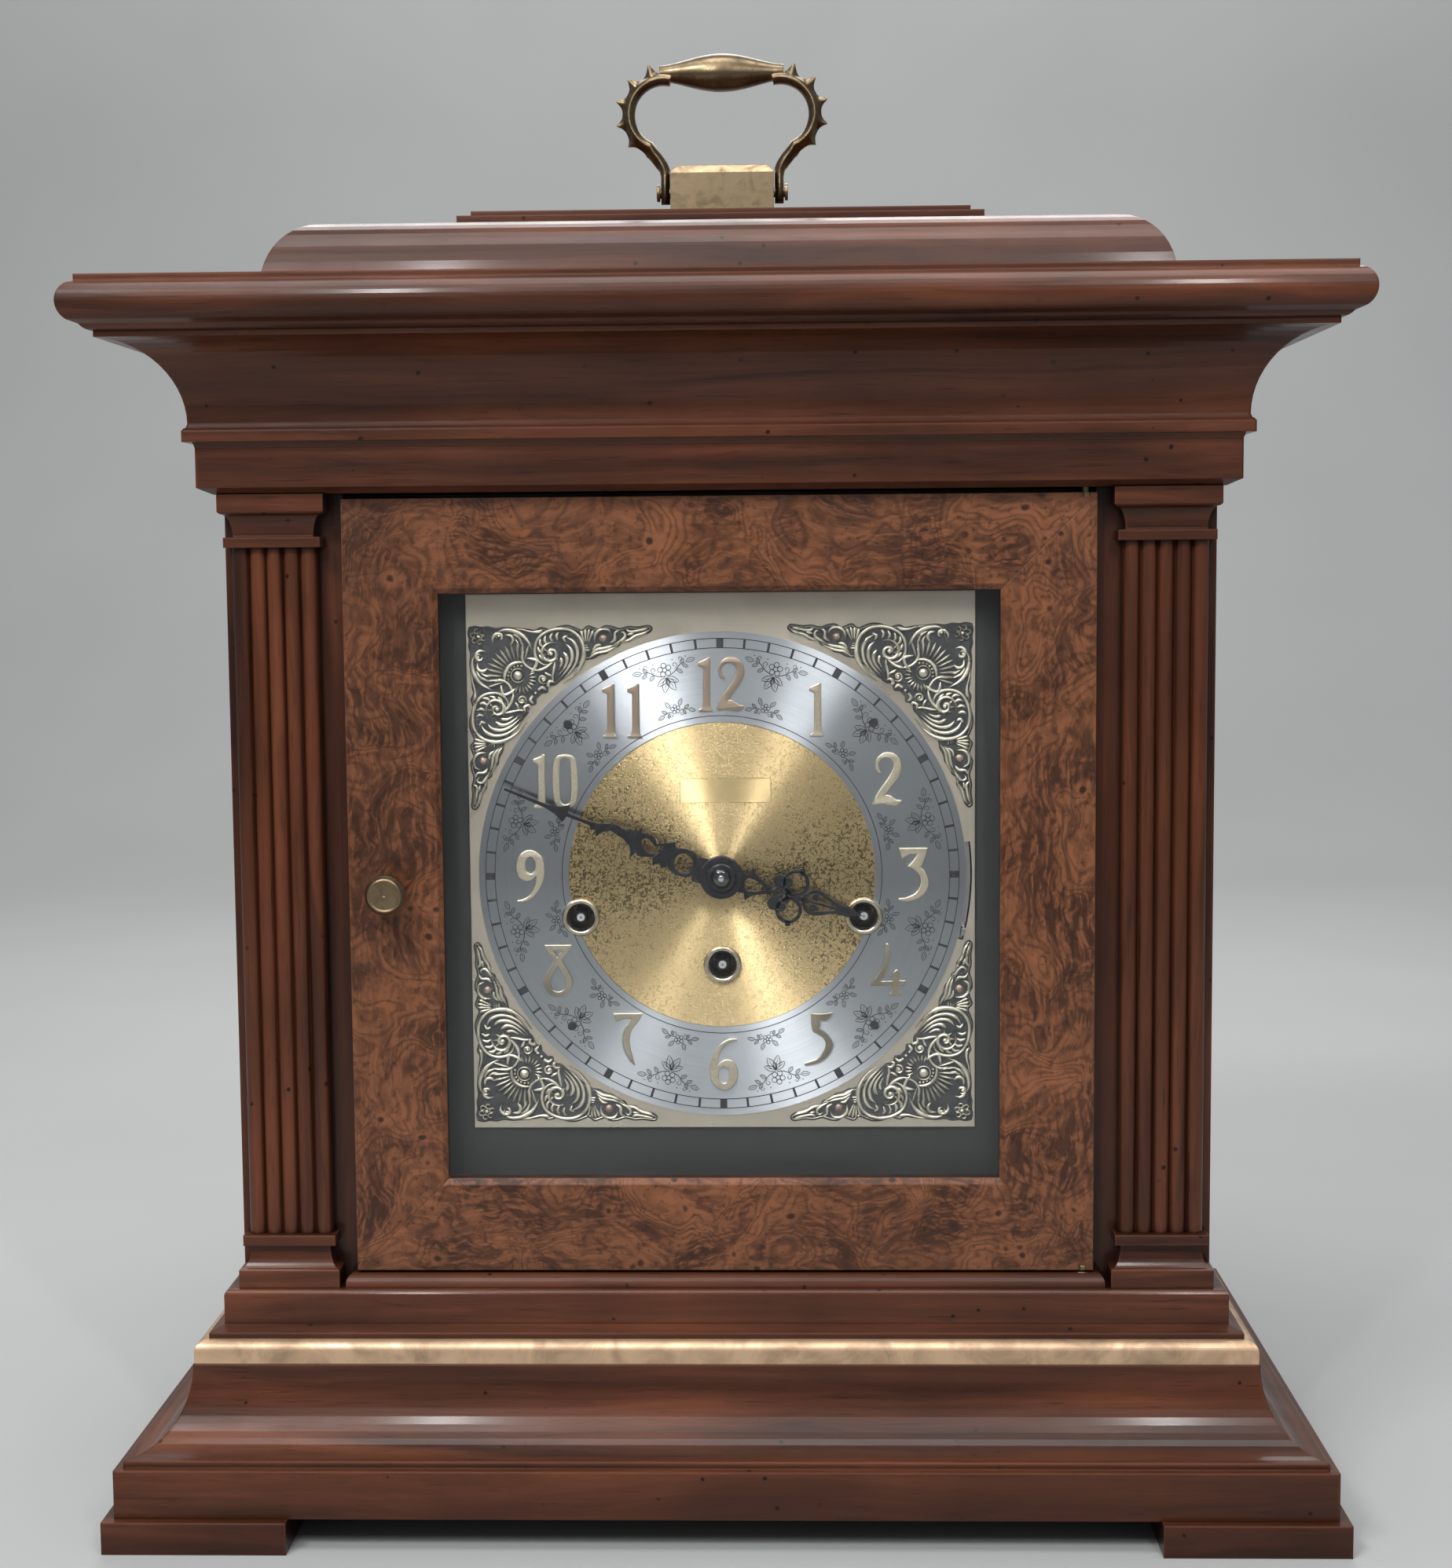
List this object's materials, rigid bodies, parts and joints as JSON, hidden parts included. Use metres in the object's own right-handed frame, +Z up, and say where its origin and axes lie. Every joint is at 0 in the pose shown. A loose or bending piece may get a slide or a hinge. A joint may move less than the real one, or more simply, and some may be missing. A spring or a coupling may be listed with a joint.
{
  "type": "chiming mantel clock",
  "caption": "Chiming mantel clock in a mitred wooden case with reeded pilasters, a glazed door, a silvered dial, a carrying handle and a key wound movement.",
  "frame": {"origin": "middle of the footprint on the surface that the feet stand on", "axes": "+X to the right as the dial is seen, +Y from the dial to the back, +Z up"},
  "size_m": [0.4378, 0.2499, 0.5403],
  "materials": {
    "walnut": "satin lacquered dark hardwood",
    "burl": "satin lacquered burl veneer",
    "gilt": "pale gilt",
    "brass": "antique brass",
    "steel": "brushed",
    "black_steel": "satin black",
    "glass": "clear flat glass",
    "painted_board": "dull grey green paint",
    "bronzed_plate": "antiqued cast metal",
    "silvered": "brushed silvered metal",
    "pale_brass": "pale polished brass"
  },
  "bodies": {
    "case": {"feet": "walnut", "base_moulding_front": "walnut", "base_moulding_sides": "walnut", "base_back_rail": "walnut", "gilt_strip": "gilt", "ledge_board": "walnut", "base_board": "walnut", "door_sill": "walnut", "pilasters": "walnut", "column_caps": "walnut", "column_bases": "walnut", "front_stiles": "walnut", "case_sides": "walnut", "back_frame": "walnut", "frieze_front": "walnut", "frieze_sides": "walnut", "cornice_front": "walnut", "cornice_sides": "walnut", "cap_board": "walnut", "caddy_top": "walnut", "handle_plinth": "walnut", "handle_block": "brass", "bail_pin": "brass", "fixed_pivots": "brass", "dial_mask": "painted_board", "dial_plate": "bronzed_plate", "chapter_ring": "silvered", "dial_centre": "gilt", "numerals": "pale_brass", "spandrels": "bronzed_plate", "dial_rivets": "black_steel", "grommets": "brass", "movement_plates": "brass", "movement_pillars": "steel", "seat_board": "walnut", "chime_block": "steel"},
    "front_door": {"door_rails": "burl", "door_stiles": "burl", "door_glass": "glass", "glass_beads": "walnut", "door_knob": "brass", "door_pivots": "brass"},
    "handle": {"bail_handle": "brass"},
    "minute": {"minute_hand": "black_steel", "hand_nut": "black_steel", "centre_arbor": "steel"},
    "hour": {"hour_hand": "black_steel", "hour_wheel": "brass"},
    "motion_wheel": {"minute_wheel": "brass"},
    "going_barrel": {"going_barrel": "brass"},
    "strike_barrel": {"strike_barrel": "brass"},
    "chime_barrel": {"chime_barrel": "brass"},
    "going_arbor": {"going_arbor": "steel"},
    "strike_arbor": {"strike_arbor": "steel"},
    "chime_arbor": {"chime_arbor": "steel"},
    "chime_lever": {"chime_lever": "steel"},
    "chime_drum": {"chime_drum": "brass"},
    "hammers": {"hammers": "brass"},
    "rear_door": {"rear_door": "walnut", "rear_door_pull": "brass"}
  },
  "joints": [
    {"name": "door_hinge", "type": "hinge", "parent": "case", "child": "front_door", "pos_m": [0.1294, -0.077, 0.228], "axis": [0, 0, 1], "range_deg": [0, 105]},
    {"name": "handle_pivot", "type": "hinge", "parent": "case", "child": "handle", "pos_m": [0, 0.0195, 0.4875], "axis": [1, 0, 0], "range_deg": [-88, 88]},
    {"name": "rear_door_hinge", "type": "hinge", "parent": "case", "child": "rear_door", "pos_m": [-0.1256, 0.116, 0.227], "axis": [0, 0, 1], "range_deg": [0, 90]},
    {"name": "chime_selector", "type": "hinge", "parent": "case", "child": "chime_lever", "pos_m": [0, -0.0612, 0.231], "axis": [0, -1, 0], "range_deg": [-0.9, 19.4]},
    {"name": "hammer_lift", "type": "hinge", "parent": "case", "child": "hammers", "pos_m": [0.07, 0.028, 0.17], "axis": [0, -1, 0], "range_deg": [0, 12]},
    {"name": "going_barrel_spin", "type": "hinge", "parent": "case", "child": "going_barrel", "pos_m": [0, 0, 0.1982], "axis": [0, 1, 0], "continuous": true},
    {"name": "minute_spin", "type": "hinge", "parent": "case", "child": "minute", "pos_m": [0, -0.03, 0.231], "axis": [0, 1, 0], "continuous": true},
    {"name": "hour_spin", "type": "hinge", "parent": "case", "child": "hour", "pos_m": [0, -0.064, 0.231], "axis": [0, 1, 0], "continuous": true},
    {"name": "motion_wheel_spin", "type": "hinge", "parent": "case", "child": "motion_wheel", "pos_m": [0, -0.056, 0.249], "axis": [0, 1, 0], "continuous": true},
    {"name": "strike_barrel_spin", "type": "hinge", "parent": "case", "child": "strike_barrel", "pos_m": [-0.0515, 0, 0.2158], "axis": [0, 1, 0], "continuous": true},
    {"name": "chime_barrel_spin", "type": "hinge", "parent": "case", "child": "chime_barrel", "pos_m": [0.0515, 0, 0.2158], "axis": [0, 1, 0], "continuous": true},
    {"name": "chime_drum_spin", "type": "hinge", "parent": "case", "child": "chime_drum", "pos_m": [0.0515, 0.02, 0.19105], "axis": [0, 1, 0], "continuous": true},
    {"name": "going_winding", "type": "hinge", "parent": "case", "child": "going_arbor", "pos_m": [0, 0, 0.1982], "axis": [0, 1, 0], "continuous": true},
    {"name": "strike_winding", "type": "hinge", "parent": "case", "child": "strike_arbor", "pos_m": [-0.0515, 0, 0.2158], "axis": [0, 1, 0], "continuous": true},
    {"name": "chime_winding", "type": "hinge", "parent": "case", "child": "chime_arbor", "pos_m": [0.0515, 0, 0.2158], "axis": [0, 1, 0], "continuous": true}
  ],
  "couplings": [
    {"joint": "minute_spin", "follows": "going_barrel_spin", "ratio": -5.6},
    {"joint": "hour_spin", "follows": "going_barrel_spin", "ratio": -0.46667},
    {"joint": "motion_wheel_spin", "follows": "going_barrel_spin", "ratio": 1.8667},
    {"joint": "chime_drum_spin", "follows": "chime_barrel_spin", "ratio": -5.6}
  ]
}
